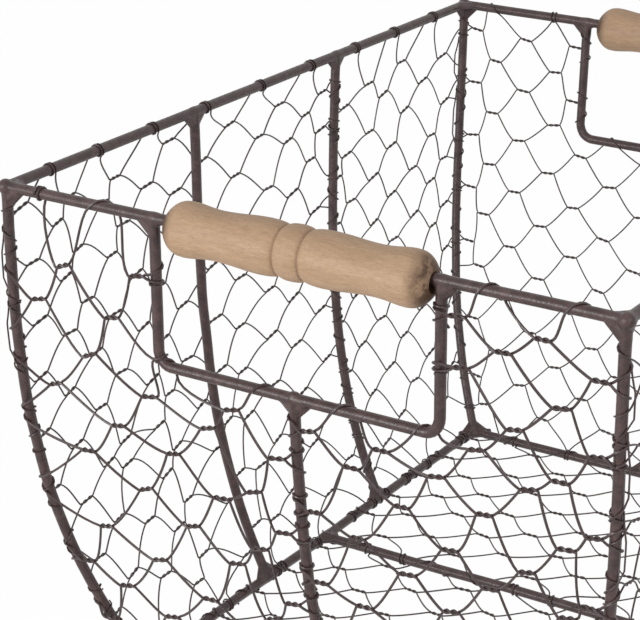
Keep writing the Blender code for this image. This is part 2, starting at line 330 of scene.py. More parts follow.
def turned_beech(name, centre, half_grip):
    made, tree, shader = new_material(name)
    where = add_node(tree, "ShaderNodeTexCoord").outputs["Object"]
    on_axis = stretched(tree, where, Location=tuple(-c for c in centre))
    along = stretched(tree, on_axis, Scale=(0.13, 1, 1))
    short = stretched(tree, on_axis, Scale=(0.4, 1, 1))
    grain = fine_noise(tree, along, 0.8, 5.0, 0.65)
    bands = fine_noise(tree, along, 4.5, 3.0, 0.5)
    flecks = fine_noise(tree, short, 0.45, 1.0, 0.5)
    smudges = fine_noise(tree, on_axis, 13, 5.0, 0.7)
    fibre = between(tree, 0.35, grain, bands)
    wood = ramp(tree, fibre, [(0.32, "a28467"), (0.45, "b09072"), (0.56, "b9997b"), (0.7, "c4a587")])
    flecked = tinted(tree, spread(tree, flecks, 0.6, 0.7, 0.0, 0.35), wood, "7f6248")
    handled = tinted(tree, spread(tree, smudges, 0.55, 0.8, 0.0, 0.4), flecked, "94785e")
    apart = add_node(tree, "ShaderNodeSeparateXYZ", Vector=on_axis)
    from_middle = reckon(tree, "ABSOLUTE", apart.outputs[0])
    cross = stretched(tree, on_axis, Scale=(0, 1, 1))
    off_axis = add_node(tree, "ShaderNodeVectorMath", {"operation": "LENGTH"}, i0=cross).outputs["Value"]
    # Painted shade and a real scorch: the rounded ends and the wood round the bore are darkened, broken up by
    # noise.
    near_end = spread(tree, from_middle, half_grip - scorch_and_shade_starts, half_grip - scorch_and_shade_full, 0.0, 1.0)
    near_bore = spread(tree, off_axis, scorch_and_shade_inside, scorch_and_shade_outside, 1.0, 0.0)
    patch = spread(tree, smudges, 0.38, 0.62, 0.2, 1.0)
    scorch_and_shade = reckon(tree, "MULTIPLY", reckon(tree, "MULTIPLY", near_end, near_bore), patch)
    scorch_and_shade = reckon(tree, "MULTIPLY", scorch_and_shade, scorch_and_shade_strength, clamp=True)
    scorched_and_shaded_wood = tinted(tree, scorch_and_shade, handled, "5a4230")
    # Painted shade: the wood is darkened within a millimetre of each groove beside the bead.
    to_groove = reckon(tree, "ABSOLUTE", reckon(tree, "SUBTRACT", from_middle, groove_place))
    groove_shaded_wood = tinted(tree, spread(tree, to_groove, 0.1 * mm, 1.0 * mm, 0.5, 0.0), scorched_and_shaded_wood, "765a42")
    rough = spread(tree, grain, 0.3, 0.7, 0.48, 0.62)
    finish_surface(tree, shader, groove_shaded_wood, rough, fibre, 0.5, 0.08 * mm, 0.35)
    return made


print("the scorch begins", round(scorch_and_shade_starts / mm, 1), "mm from each end of a grip")

# %% [markdown]
# ## Tubes along a path
# Rods and wires are both round bars that follow a path, which is what a curve with a round bevel makes. Each
# point also has a radius, so a rod can swell where it is welded. The curve is made a mesh at once, its
# normals are turned outwards, and it is shaded smooth but for its cut ends.

# %% Make a tube
rod_roundness, wire_roundness = 6, 1


def mesh_from(name, shape):
    """A mesh with a shape that was drawn face by face."""
    mesh = bpy.data.meshes.new(name)
    shape.to_mesh(mesh)
    shape.free()
    return mesh


def settled_mesh(maker):
    """The mesh that a curve or a modifier makes, in place of the object that made it."""
    ready = maker.evaluated_get(bpy.context.evaluated_depsgraph_get())
    mesh = bpy.data.meshes.new_from_object(ready)
    bpy.data.objects.remove(maker)
    return mesh


def tube(name, paths, thickness, roundness, finish):
    """One mesh of round bars. A path is a list of points, each with a share of the thickness."""
    curve = bpy.data.curves.new(name, "CURVE")
    curve.dimensions = "3D"
    curve.bevel_depth = thickness / 2
    curve.bevel_resolution = roundness
    curve.use_fill_caps = True
    for path in paths:
        spline = curve.splines.new("POLY")
        spline.points.add(len(path) - 1)
        for point, (place, share) in zip(spline.points, path):
            point.co = (*place, 1)
            point.radius = share
    return finished_piece(name, settled_mesh(add_object(f"{name}_curve", curve)), finish)


def finished_piece(name, mesh, finish, body="basket", sharp_degrees=50):
    """Turns normals outwards, shades the mesh and gives it its name, material and body."""
    same_place = 1e-6
    shape = bmesh.new()
    shape.from_mesh(mesh)
    bmesh.ops.remove_doubles(shape, verts=shape.verts, dist=same_place)
    bmesh.ops.recalc_face_normals(shape, faces=shape.faces)
    shape.to_mesh(mesh)
    shape.free()
    mesh.shade_smooth()
    mesh.set_sharp_from_angle(angle=math.radians(sharp_degrees))
    mesh.materials.clear()
    mesh.materials.append(finish)
    piece = add_object(name, mesh)
    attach(piece, body)
    return piece


print("a rod has", 2 * (rod_roundness + 2), "sides and a wire", 2 * (wire_roundness + 2))

# %% [markdown]
# ## The rods
# Every rod of the frame is drawn steel, 5 mm thick, cut, bent and butt welded to the next. Each one follows
# the middle line that the model gives. Where it is welded it runs on to the middle of the rod it meets, so
# that no gap is left, and swells a little into the weld. No hand-bent rod is quite straight, so each wanders
# by a few tenths of a millimetre along its length.

# %% Paths of the rods
def wander(points, seed, amount):
    """Moves the inner points of a path a little, smoothly along it."""
    moved, noise_step = [], 0.35
    for index, point in enumerate(points):
        fade = math.sin(math.pi * index / (len(points) - 1))
        shift = noise.noise_vector(Vector((index * noise_step, seed, 0))) * amount * fade
        moved.append(point + shift)
    return moved


def straight(start, end, steps=12):
    start, end = Vector(start), Vector(end)
    return [start.lerp(end, step / steps) for step in range(steps + 1)]


def bent(corners, radius, steps=8):
    """A path through corners in space, each rounded to a radius."""
    path = [Vector(corners[0])]
    for before, corner, after in zip(corners, corners[1:], corners[2:]):
        back = (Vector(before) - Vector(corner)).normalized()
        ahead = (Vector(after) - Vector(corner)).normalized()
        half = back.angle(ahead) / 2
        centre = Vector(corner) + (back + ahead).normalized() * (radius / math.sin(half))
        spoke = Vector(corner) + back * (radius / math.tan(half)) - centre
        turn = ahead.cross(back).normalized()
        for step in range(steps + 1):
            path.append(centre + Matrix.Rotation((math.pi - 2 * half) * step / steps, 3, turn) @ spoke)
    path.append(Vector(corners[-1]))
    return path


print("a bend of the hand hole has", len(bent([(0, 0, 1), (0, 0, 0), (1, 0, 0)], 0.1)), "points")

# %% Welded ends and posts
def swell(points, welded, reach=3 * mm, gain=0.1):
    """Gives each point its share of the thickness, more near both ends where they are welded."""
    total = [0]
    for a, b in zip(points, points[1:]):
        total.append(total[-1] + (b - a).length)
    shares = []
    for done in total:
        share = 1
        for from_end in (done, total[-1] - done) if welded else ():
            share += gain * math.exp(-max(0, from_end - rod_radius) / reach)
        shares.append(share)
    return list(zip(points, shares))


def close_ends(points, reach=9 * mm, steps=6):
    """Adds points near both ends of a path, so that a weld's swelling is smooth."""
    near, far, clear = points[0], points[-1], reach * 1.2
    start, end = (points[1] - near).normalized(), (points[-2] - far).normalized()
    first = [near] + [near + start * reach * step / steps for step in range(1, steps + 1)]
    last = [far + end * reach * step / steps for step in range(steps, 0, -1)] + [far]
    inner = [point for point in points if (point - near).length > clear and (point - far).length > clear]
    return first + inner + last


def post_line(top, foot, powers, steps=26):
    """A rod that hangs from the rim and follows the walls' curves down to the base."""
    points = []
    for step in range(steps + 1):
        z = rim_z - rise * step / steps
        x, y = (a + (b - a) * drop_at(z) ** power for a, b, power in zip(top, foot, powers))
        points.append(Vector((x, y, z)))
    return points


print("a long wall curves in by", round((rim_half_width - base_half_width) / mm, 1), "mm")

# %% Build the rods
rod_paths = {}
foot_inset = base_corner_radius * (1 - math.sqrt(1 / 2))
for side, side_name in side_names.items():
    x, y = side * rim_half_width, rim_half_length
    rod_paths[f"{side_name}_rim_rod"] = straight((x, -y, rim_z), (x, y, rim_z), 24)
    x = side * base_half_width
    rod_paths[f"{side_name}_base_rod"] = straight((x, -base_joint_y, base_z), (x, base_joint_y, base_z), 24)
    for end, end_name in end_names.items():
        top = (side * rim_half_width, end * upright_top_y)
        foot = (side * base_half_width, end * upright_foot_y)
        rod_paths[f"{side_name}_{end_name}_upright"] = post_line(top, foot, (side_wall_power, 1))
        top = (side * rim_half_width, end * rim_half_length)
        foot = (side * (base_half_width - foot_inset), end * (base_half_length - foot_inset))
        rod_paths[f"{end_name}_{side_name}_post"] = post_line(top, foot, (side_wall_power, end_wall_power))

for end, end_name in end_names.items():
    y = end * rim_half_length
    rod_paths[f"{end_name}_rim_rod"] = straight((-rim_half_width, y, rim_z), (rim_half_width, y, rim_z), 18)
    wall = end_wall(end)
    left, right = -hole_half_width, hole_half_width
    u_shape = [(left, rim_z), (left, hole_z), (right, hole_z), (right, rim_z)]
    rod_paths[f"{end_name}_hand_hole_rod"] = bent([wall(x, z)[0] for x, z in u_shape], hole_corner_radius)
    z_steps = [hole_z + (base_z - hole_z) * step / 18 for step in range(19)]
    rod_paths[f"{end_name}_centre_post"] = [wall(0, z)[0] for z in z_steps]
    ends = [Vector((side * base_half_width, end * base_joint_y, base_z)) for side in (-1, 1)]
    turns = [Vector((side * base_half_width, end * base_half_length, base_z)) for side in (-1, 1)]
    rod_paths[f"{end_name}_base_rod"] = bent([ends[0], *turns, ends[1]], base_corner_radius)
rod_paths["floor_cross_rod"] = straight((-base_half_width, 0, base_z), (base_half_width, 0, base_z))

rim_waver, other_waver = 0.15 * mm, 0.5 * mm
seed_step = 7.3
laid_rods = []
for index, (node, points) in enumerate(sorted(rod_paths.items())):
    welded = not node.endswith(("_rim_rod", "_base_rod"))
    waver = rim_waver if node.endswith("_rim_rod") else other_waver
    line = wander(close_ends(points), index * seed_step, waver)
    laid_rods.append(line)
    path = swell(line, welded)
    piece = tube(f"{node}_steel", [path], 2 * rod_radius, rod_roundness, rod_paint)
    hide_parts(node)
print(len(rod_paths), "rods")

# %% [markdown]
# ## The welds
# Under the paint every joint is a generous fillet weld: metal fills the inner corners over 5 to 8 mm, less
# beside a grip, and the rods run into each other without an edge. A remesh of a few overlapping solids does
# the same. Each joint starts as tapered stubs along its rods, and each inner corner gets a short thick strut
# and a longer thin one across it. The whole is remeshed as one skin and smoothed until the corners are hollow
# curves. The stubs get thinner than the rods further out, so the skin slips under the rod with no visible
# end.

# %% Joints and the rods that leave them
def heading(a, b):
    return (Vector(b) - Vector(a)).normalized()


def rod_end(node, last=False):
    """The end of a rod that is welded on, and the way along the rod from there."""
    path = rod_paths[node]
    place, inner = (path[-1], path[-2]) if last else (path[0], path[1])
    return place, heading(place, inner)


along_x, along_y, down = [(1, 0, 0), (-1, 0, 0)], [(0, 1, 0), (0, -1, 0)], (0, 0, -1)
joints = []
for side in (-1, 1):
    for end in (-1, 1):
        corner = Vector((side * rim_half_width, end * rim_half_length, rim_z))
        joints.append((corner, [(-side, 0, 0), (0, -end, 0), down]))
        joints.append((Vector((side * rim_half_width, end * upright_top_y, rim_z)), [*along_y, down]))
        joints.append((Vector((end * hole_half_width, side * rim_half_length, rim_z)), [*along_x, down]))
        foot, up = rod_end(f"{end_names[end]}_{side_names[side]}_post", last=True)
        along = Vector((side, -end, 0)).normalized()
        joints.append((foot, [along, -along, up]))
        foot, up = rod_end(f"{side_names[side]}_{end_names[end]}_upright", last=True)
        joints.append((foot, [*along_y, up]))
        butt = Vector((side * base_half_width, end * base_joint_y, base_z))
        joints.append((butt, along_y))
    for last in (False, True):
        place, inwards = rod_end(f"{end_names[side]}_centre_post", last)
        joints.append((place, [*along_x, inwards]))
    joints.append((Vector((side * base_half_width, 0, base_z)), [*along_y, (-side, 0, 0)]))
print(len(joints), "welded joints")

# %% Parts of a weld
def stub(shape, start, direction, length, thick, thin):
    """A tapered stub from a joint along one of its rods."""
    turn = Vector((0, 0, 1)).rotation_difference(Vector(direction)).to_matrix().to_4x4()
    place = Matrix.Translation(start + Vector(direction) * length / 2) @ turn
    bmesh.ops.create_cone(
        shape, cap_ends=True, segments=20, radius1=thick, radius2=thin, depth=length, matrix=place
    )


def ball(shape, centre, axes, sizes):
    """A ball stretched along three directions."""
    frame_of = Matrix([Vector(axis) * size for axis, size in zip(axes, sizes)]).transposed().to_4x4()
    bmesh.ops.create_icosphere(shape, subdivisions=3, radius=1, matrix=Matrix.Translation(centre) @ frame_of)


def weld_skin(shape):
    """Remeshes overlapping solids as one skin and smooths it."""
    maker = add_object("weld_skin", mesh_from("weld_skin", shape))
    remesh = maker.modifiers.new("skin", "REMESH")
    remesh.mode = "VOXEL"
    remesh.voxel_size = 0.5 * mm
    smooth = maker.modifiers.new("soft", "SMOOTH")
    smooth.factor = 0.5
    smooth.iterations = 9
    return settled_mesh(maker)


def gusset(shape, place, first, second, reach):
    """Two struts across an inner corner, which the smoothing turns into a hollow fillet."""
    for share, thick in ((0.64, 2.3 * mm), (1.0, 1.3 * mm)):
        start, end = place + first * reach * share, place + second * reach * share
        stub(shape, start, (end - start).normalized(), (end - start).length, thick, thick)


print("a weld is made of stubs, balls and struts")

# %% Shape the welds
lumps = bmesh.new()
chance = random.Random(5)
level_axes = [(1, 0, 0), (0, 1, 0), (0, 0, 1)]
stub_length, stub_back = 11 * mm, 1 * mm
stub_thick, stub_thin = rod_radius * 1.14, rod_radius * 0.9
corner_fillet, joint_fillet, fillet_by_grip = (9.0, 10.4), (8.0, 9.4), 4.5
for place, directions in joints:
    arms = [Vector(direction).normalized() for direction in directions]
    for arm in arms:
        stub(lumps, place - arm * stub_back, arm, stub_length, stub_thick, stub_thin)
    if len(arms) < 3:
        ball(lumps, place, level_axes, [stub_thick, 2 * mm, stub_thick])
        continue
    if abs(arms[0].dot(arms[1])) < 0.5:
        outwards = -(arms[0] + arms[1]).normalized()
        ball(lumps, place + outwards * 0.6 * mm, level_axes, [rod_radius * 1.45] * 3)
        for first, second in ((0, 1), (0, 2), (1, 2)):
            gusset(lumps, place, arms[first], arms[second], chance.uniform(*corner_fillet) * mm)
        continue
    by_grip = abs(place.x) < rim_half_width / 2 and place.z > rim_z - mm
    for way in arms[:2]:
        inner = by_grip and way.x * place.x < 0
        gusset(lumps, place, way, arms[2], (fillet_by_grip if inner else chance.uniform(*joint_fillet)) * mm)
    if abs(place.x) < 1 * mm and place.z > rim_z / 2:
        ball(lumps, place - arms[2] * 1.6 * mm, level_axes, [3.0 * mm, 2.2 * mm, 2.0 * mm])
weld_piece = finished_piece("weld_fillets", weld_skin(lumps), rod_paint)
print("weld skin", len(weld_piece.data.polygons), "faces")

# %% [markdown]
# ## The grips
# A grip is a billet of wood turned on a lathe to two long swells with a bead between two grooves, rounded at
# the ends, and bored through. Spinning its outline about the axis is the same process. The outline is half of
# the grip, from the middle out, as measured on the photograph, and the bore is wider than the rod it turns
# on.

# %% Turn the grips
half_outline_mm = [
    (0.0, 12.1), (1.6, 12.05), (3.0, 11.9), (4.2, 11.6), (5.1, 11.2), (5.7, 10.75), (6.0, 10.45), (6.3, 10.45),
    (6.7, 10.8), (7.4, 11.2), (8.6, 11.55), (10.6, 11.85), (13.0, 12.02), (15.5, 12.08), (19.0, 11.98),
    (23.2, 11.75), (27.0, 11.4), (31.0, 11.08), (35.0, 10.85), (38.7, 10.78), (42.0, 10.9), (45.2, 11.2),
    (48.5, 11.65), (51.6, 12.0), (54.0, 12.1), (56.2, 11.95), (57.4, 11.7), (58.5, 11.3), (59.5, 10.75),
    (60.4, 10.1), (61.3, 9.3), (62.1, 8.45), (62.8, 7.6), (63.4, 6.75), (63.9, 5.9), (64.2, 5.2), (64.2, 4.5),
]
grip_low, grip_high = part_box("near_grip")
half_grip = (grip_high.x - grip_low.x) / 2
drawn_half_grip = 64.3 * mm
outline_scale = half_grip / drawn_half_grip


def turn_grip(name, node, body, finish):
    centre = middle_of(node)
    right_half = [(x * outline_scale * mm, r * mm) for x, r in half_outline_mm]
    outline = [(-x, r) for x, r in reversed(right_half[1:])] + right_half
    shape = bmesh.new()
    ring = [shape.verts.new(centre + Vector((x, 0, r))) for x, r in outline]
    sides = [shape.edges.new(pair) for pair in zip(ring, ring[1:] + ring[:1])]
    bmesh.ops.spin(
        shape, geom=ring + sides, cent=centre, axis=(1, 0, 0), angle=2 * math.pi, steps=72, use_merge=True
    )
    piece = finished_piece(name, mesh_from(name, shape), finish, body, sharp_degrees=60)
    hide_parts(node)
    return piece


for end_name in end_names.values():
    beech = turned_beech(f"turned_beech_{end_name}", middle_of(f"{end_name}_grip"), half_grip)
    grip = turn_grip(f"{end_name}_beech_grip", f"{end_name}_grip", f"{end_name}_grip_body", beech)
    print(grip.name, len(grip.data.polygons), "faces")

# %% [markdown]
# ## Hexagonal netting
# Each opening of the frame is filled with twisted netting: neighbouring wires are twisted together for about
# a turn and a quarter, part, and are twisted with their neighbours on the other side. So a wire zigzags right
# across the panel, and the whole net can be drawn as two families of long wires, one falling to the right and
# one rising, that meet at the twists. Working on a flat sheet first, with a place along the wall, a height
# and a distance out, keeps the twists and coils simple, and the sheet is then laid on the curved wall.

# %% Wire sizes
near_wire_gauge = 1.25 * mm
wire_gauge = 0.84 * mm
twist_length = 8.2 * mm
twist_start = math.radians(48)
resting = rod_radius + wire_gauge / 2
flat_out = Vector((0, 0, 1))


def twist(centre, tilt, length, radius, starts_high):
    """One wire's way through a twist: a helix round the other wire, which it crosses three times."""
    along = Vector((math.cos(tilt), math.sin(tilt), 0))
    up = Vector((-math.sin(tilt), math.cos(tilt), 0))
    first = twist_start if starts_high else twist_start + math.pi
    steps = 12
    points = []
    for step in range(steps + 1):
        turn = first + (3 * math.pi - 2 * twist_start) * step / steps
        spot = centre + along * length * (step / steps - 0.5)
        points.append(spot + (up * math.cos(turn) + flat_out * math.sin(turn)) * radius)
    return points


def arc_between(start, leaving, end, arriving, steps=7):
    """A smooth wire from one point and direction to another, without its end points."""
    points = []
    for step in range(1, steps):
        t = step / steps
        a, b = (1 + 2 * t) * (1 - t) ** 2, t * (1 - t) ** 2
        c, d = t * t * (3 - 2 * t), t * t * (t - 1)
        points.append(start * a + leaving * b + end * c + arriving * d)
    return points


sample = twist(Vector(), 0, twist_length, wire_gauge / 2, True)
print("a twist of", round(twist_length / mm, 1), "mm has", len(sample), "points per wire")

# %% [markdown]
# ## Where a wire meets a rod
# The netting was cut to each panel and fastened by its own wire. On a level rod a wire comes up in front,
# goes over the rod and down behind it, and carries on as the next wire: a hook. Where the net is drawn tight,
# the hook goes round once more. On an upright rod a wire wraps a little more than half round, or right round,
# and is cut off close. All are a helix round the rod and differ only in how far it turns and how far it moves
# along the rod.

# %% Coils and hooks
def coil(on_rod, rod_way, going, turn, moves, slack=0.0):
    """A helix round a rod on the flat sheet, from the front of the rod, moving along it as it turns."""
    across = Vector((-rod_way.y, rod_way.x, 0))
    if across.dot(going) < 0:
        across = -across
    steps_per_turn = 11
    steps = math.ceil(turn / (2 * math.pi) * steps_per_turn)
    points = []
    for step in range(steps + 1):
        angle = turn * step / steps
        reach = resting + (slack * math.sin(angle) ** 2 if angle < math.pi else 0)
        spot = on_rod + rod_way * moves * step / steps
        points.append(spot + (across * math.sin(angle) + flat_out * math.cos(angle)) * reach)
    return points


def join(start, leaving, turns, pull=0.65):
    """A wire that leaves a point in a direction and runs smoothly into a coil."""
    first = (turns[1] - turns[0]).normalized()
    reach = (turns[0] - start).length * pull
    return arc_between(start, leaving * reach, turns[0], first * reach) + turns


sample = coil(Vector(), Vector((0, 1, 0)), Vector((1, 0, 0)), 4 * math.pi, mm)
print("a coil of two turns has", len(sample), "points")

# %% [markdown]
# ## The pattern of a panel
# A panel is a closed border of rods. Twists stand in columns, and each column is half a cell lower than the
# last. The net was pulled to shape by hand, so no two cells are alike: every twist is moved and tilted a
# little, and a slow drift bends whole rows. A twist that would land on a level rod becomes a hook on it, or
# is left out past the rod's end, and one that would straddle an upright is moved next to it, as the real ones
# are.

# %% Ways of a panel
hanging = ((2, 8), (-19, -9))
arched = ((-24, -10), (0, 6))
bowed = ((-20, -8), (4, 12))
usual_ways = {
    "tight_share": 0.2, "tight_at": (), "wound_share": 0.3, "sag": 0.0, "loose": 0.7, "reach_in": 6 * mm,
    "tilts": (-9, 9), "lengths": (0.9, 1.04), "bends": (hanging, hanging), "axes": (0, 2),
    "gauge": wire_gauge,
}
drift_size, drift_mm = 60 * mm, 3.5
sideways_mm, upright_mm = 1.2, 1.4
seeds_apart = 3.7
proud_mm = (-0.2, 0.7)
sag_reach = 14 * mm
hook_reach, hook_sideways, below_hook = 7.5 * mm, 4 * mm, 6 * mm
clear_of_rod = 0.6 * mm
print("a twist within", round(hook_reach / mm, 1), "mm of a level rod becomes a hook")

# %% A panel and its border
class Panel:
    """A flat sheet of netting. A side of its border is two corners and how wires are held on its rod."""

    def __init__(self, border, surface, seed, place_at, columns, half_rows, **ways):
        self.border, self.surface, self.place_at = border, surface, place_at
        for way, value in {**usual_ways, **ways}.items():
            setattr(self, way, value)
        self.chance = random.Random(seed)
        self.twists, self.knots = {}, {}
        for k in range(columns[0], columns[1] + 1):
            for h in range(half_rows[0], half_rows[1] + 1):
                if (k + h) % 2 == 0:
                    self.set_out(k, h, seed)

    def holds(self, u, v):
        """Whether a point is inside the border, by counting the sides that a level line crosses."""
        count = 0
        for (u1, v1), (u2, v2), _ in self.border:
            if (v1 > v) != (v2 > v) and u < u1 + (u2 - u1) * (v - v1) / (v2 - v1):
                count += 1
        return count % 2 == 1

    def nearest(self, u, v, level):
        """How near the level or the upright rods are, and the nearest point on them."""
        here, best = Vector((u, v, 0)), (math.inf, None)
        for (u1, v1), (u2, v2), kind in self.border:
            if (kind == "level") != level:
                continue
            start, way = Vector((u1, v1, 0)), Vector((u2 - u1, v2 - v1, 0))
            spot = start + way * max(0, min(1, (here - start).dot(way) / way.length_squared))
            best = min(best, ((here - spot).length, spot), key=lambda pair: pair[0])
        return best

    def set_out(self, k, h, seed):
        """Places one twist, or a hook on a level rod, or nothing where it is outside."""
        u, v = self.place_at(k, h)
        drift = noise.noise_vector(Vector((u / drift_size, v / drift_size, seed * seeds_apart))) * drift_mm * mm
        u += (drift.x + self.chance.uniform(-sideways_mm, sideways_mm) * mm) * self.loose
        v += (drift.y + self.chance.uniform(-upright_mm, upright_mm) * mm) * self.loose
        tilt = math.radians(self.chance.uniform(*self.tilts))
        length = twist_length * self.chance.uniform(*self.lengths)
        out = resting + self.chance.uniform(*proud_mm) * mm
        gap, spot = self.nearest(u, v, level=True)
        if gap < hook_reach:
            if abs(spot.x - u) < hook_sideways:
                self.knots[k, h] = (spot, self.holds(spot.x, spot.y - below_hook))
            return
        stub_gap = length / 2 + resting + clear_of_rod
        gap, spot = self.nearest(u, v, level=False)
        if gap < (stub_gap if self.holds(u, v) else self.reach_in):
            inward = 1 if self.holds(spot.x + stub_gap, v) else -1
            u = spot.x + inward * stub_gap
        if self.holds(u, v):
            rods_away = min(self.nearest(u, v, level=True)[0], self.nearest(u, v, level=False)[0])
            out -= self.sag * (1 - math.exp(-rods_away / sag_reach))
            self.twists[k, h] = (Vector((u, v, out)), tilt, length, self.gauge / 2)

    def crossing(self, inner, outer):
        """Where the line from a point inside towards one outside first meets the border."""
        best, parallel = None, 1e-12
        du, dv = outer.x - inner.x, outer.y - inner.y
        for (u1, v1), (u2, v2), kind in self.border:
            eu, ev = u2 - u1, v2 - v1
            across = du * ev - dv * eu
            if abs(across) < parallel:
                continue
            t = ((u1 - inner.x) * ev - (v1 - inner.y) * eu) / across
            s = ((u1 - inner.x) * dv - (v1 - inner.y) * du) / across
            if 0 <= t <= 2 and 0 <= s <= 1 and (best is None or t < best[0]):
                best = (t, Vector((inner.x + du * t, inner.y + dv * t, 0)), kind)
        return best


print("netting is laid out panel by panel")

# %% [markdown]
# ## The wires of a panel
# Each wire is followed from left to right: from its fastening on the border through one twist after another
# to the fastening at its other end. On the ends and the floor the net hangs from its upper twists: a wire
# leaves one steeply, with a sharp corner, and curves gently into the twist below. On the long walls it leaves
# in an arch. Following whole wires, rather than placing cells, leaves no joins to hide.

# %% Bend a wire between two twists
def bearing(panel, start, end, falling, at_upper):
    """The way of a wire at one end of its run, which is steeper than the straight line by its bend there."""
    slope = math.atan2(end.y - start.y, end.x - start.x)
    turn = math.radians(panel.chance.uniform(*panel.bends[falling][0 if at_upper else 1]))
    angle = slope + (-turn if falling else turn)
    return Vector((math.cos(angle), math.sin(angle), 0))


def run_between(panel, start, end, falling):
    """A wire from the right end of one twist to the left end of the next, with most pull at the upper one."""
    length, upper_pull, lower_pull = (end - start).length, 1.1, 0.7
    pulls = (upper_pull, lower_pull) if falling else (lower_pull, upper_pull)
    leaving = bearing(panel, start, end, falling, at_upper=falling) * length * pulls[0]
    arriving = bearing(panel, start, end, falling, at_upper=not falling) * length * pulls[1]
    return arc_between(start, leaving, end, arriving)


print("a hanging wire leaves its upper twist", hanging[0], "degrees steeper than straight")

# %% Fasten a wire to the border
tight_hook, open_hook = ((565, 610), (2.4, 3.6)), ((225, 255), (8.5, 12.5))
short_wrap, short_wrap_moves = (205, 255), (3.5, 8)
full_wrap, full_wrap_pitch, full_wrap_share = (340, 440), 1.3 * mm, 0.4
below_rim_weld = 12 * mm
beside_rod, beside_play = 9 * mm, 3 * mm


def rod_at(panel, spot):
    """The middle of the rod that was really laid nearest a spot, on the flat sheet, and its way there."""
    near, too_far = panel.surface(spot.x, spot.y)[0], 10 * mm
    best = (math.inf, None, None)
    for line in laid_rods:
        for a, b in zip(line, line[1:]):
            if (a - near).length > too_far + (b - a).length:
                continue
            share = max(0, min(1, (near - a).dot(b - a) / (b - a).length_squared))
            place = a.lerp(b, share)
            best = min(best, ((place - near).length, place, b - a), key=lambda found: found[0])
    _, place, way = best
    u, v = panel.axes
    flat, out = panel.surface(place[u], place[v])
    return Vector((place[u], place[v], (place - flat).dot(out))), Vector((way[u], way[v], 0)).normalized()


def new_hook(panel, key):
    """The hook on a level rod, which the wire that arrives shares with the one that leaves."""
    spot, rises = panel.knots[key]
    chance = panel.chance
    tight = key in panel.tight_at or chance.random() < panel.tight_share
    turns, move = tight_hook if tight else open_hook
    turn, moves = math.radians(chance.uniform(*turns)), chance.uniform(*move) * mm
    spot, rod_way = rod_at(panel, spot)
    if rod_way.x < 0:
        rod_way = -rod_way
    return coil(spot - rod_way * moves / 2, rod_way, Vector((0, 1 if rises else -1, 0)), turn, moves)


def fastening(panel, point, aim):
    """What a wire does at the rod that it meets on its way from a twist towards an aim outside.

    It is fastened clear of the rim's welds, and from a twist close beside the rod it goes nearly level.
    """
    chance = panel.chance
    met = panel.crossing(point, aim)
    if met is None:
        return []
    _, spot, kind = met
    spot.y = min(spot.y, rim_z - below_rim_weld)
    if kind != "level" and abs(spot.x - point.x) < beside_rod:
        spot.y = max(point.y - beside_play, min(point.y + beside_play, spot.y))
    spot, rod_way = rod_at(panel, spot)
    going = Vector((aim.x - point.x, aim.y - point.y, 0))
    along = math.copysign(1, going.dot(rod_way))
    if chance.random() > (panel.wound_share if kind == "passed" else full_wrap_share):
        turn = math.radians(chance.uniform(*short_wrap))
        moves = along * chance.uniform(*short_wrap_moves) * mm
    else:
        turn = math.radians(chance.uniform(*full_wrap))
        moves = along * full_wrap_pitch * chance.uniform(1, 1.6) * turn / (2 * math.pi)
    turns = coil(spot, rod_way, going, turn, moves, slack=chance.uniform(0, 0.25) * mm)
    return turns + [turns[-1] + (turns[-1] - turns[-2]).normalized() * chance.uniform(0.2, 0.6) * mm]


print("an open hook turns", open_hook[0], "degrees round its rod, and a tight one", tight_hook[0])

# %% Follow the wires
def wires_of(panel):
    """Every wire of a panel, as paths on the flat sheet."""
    hooks, taken, paths = {}, set(), []

    def hook(key):
        if key not in hooks:
            hooks[key] = new_hook(panel, key)
        return hooks[key]

    def hooked(key, point):
        """Whether the twist's wire can reach the hook at this place: both lie on the same side of its rod."""
        return key in panel.knots and panel.knots[key][1] == (point.y < panel.knots[key][0].y)

    def aim_at(key):
        return panel.knots[key][0] if key in panel.knots else Vector((*panel.place_at(*key), 0))

    def run_out(point, key, falling):
        """From the right end of a twist to the border, towards a twist that isn't there."""
        way = bearing(panel, point, aim_at(key), falling, at_upper=falling)
        if hooked(key, point) and key not in taken:
            taken.add(key)
            return join(point, way, hook(key))
        turns = fastening(panel, point, aim_at(key))
        return join(point, way, turns) if turns else []

    def run_in(point, key, falling, step):
        """From the border to the left end of a twist."""
        way = bearing(panel, aim_at(key), point, falling, at_upper=not falling)
        if not hooked(key, point):
            turns = fastening(panel, point, aim_at(key))
            return list(reversed(join(point, -way, turns))) if turns else []
        turns = hook(key)
        last = (turns[-1] - turns[-2]).normalized()
        reach = (point - turns[-1]).length * 0.7
        link = arc_between(turns[-1], last * reach, point, way * reach)
        arrives_from = (key[0] - 1, key[1] + step)
        return (turns[-1:] if arrives_from in panel.twists else turns) + link

    for falling, step in ((True, 1), (False, -1)):
        for start in sorted(panel.twists):
            key = (start[0] - 1, start[1] - step)
            if key in panel.twists:
                continue
            through = twist(*panel.twists[start], falling)
            path = run_in(through[0], key, falling, step) + through
            key = (start[0] + 1, start[1] + step)
            while key in panel.twists:
                through = twist(*panel.twists[key], falling)
                path += run_between(panel, path[-1], through[0], falling) + through
                key = (key[0] + 1, key[1] + step)
            paths.append(path + run_out(path[-1], key, falling))
    return paths


def lay(paths, surface):
    """Lays paths from the flat sheet on a wall or the floor."""
    laid = []
    for path in paths:
        line = []
        for point in path:
            place, out = surface(point.x, point.y)
            line.append((place + out * point.z, 1))
        laid.append(line)
    return laid


print("a wire zigzags through every second column")

# %% [markdown]
# ## The end nets
# Each end has two pieces of netting, one on either side of the centre post. On the near end the net was
# pulled sideways as it was fixed, so its columns lean near the rim and crowd together under the hand hole.
# There each column is written down as the photograph shows it: the row of its first twist, then how far right
# and how high each one is, in millimetres. The far end is mostly hidden, so its nets have a plain pattern.

# %% Borders of the end nets
half_row = rise / 16


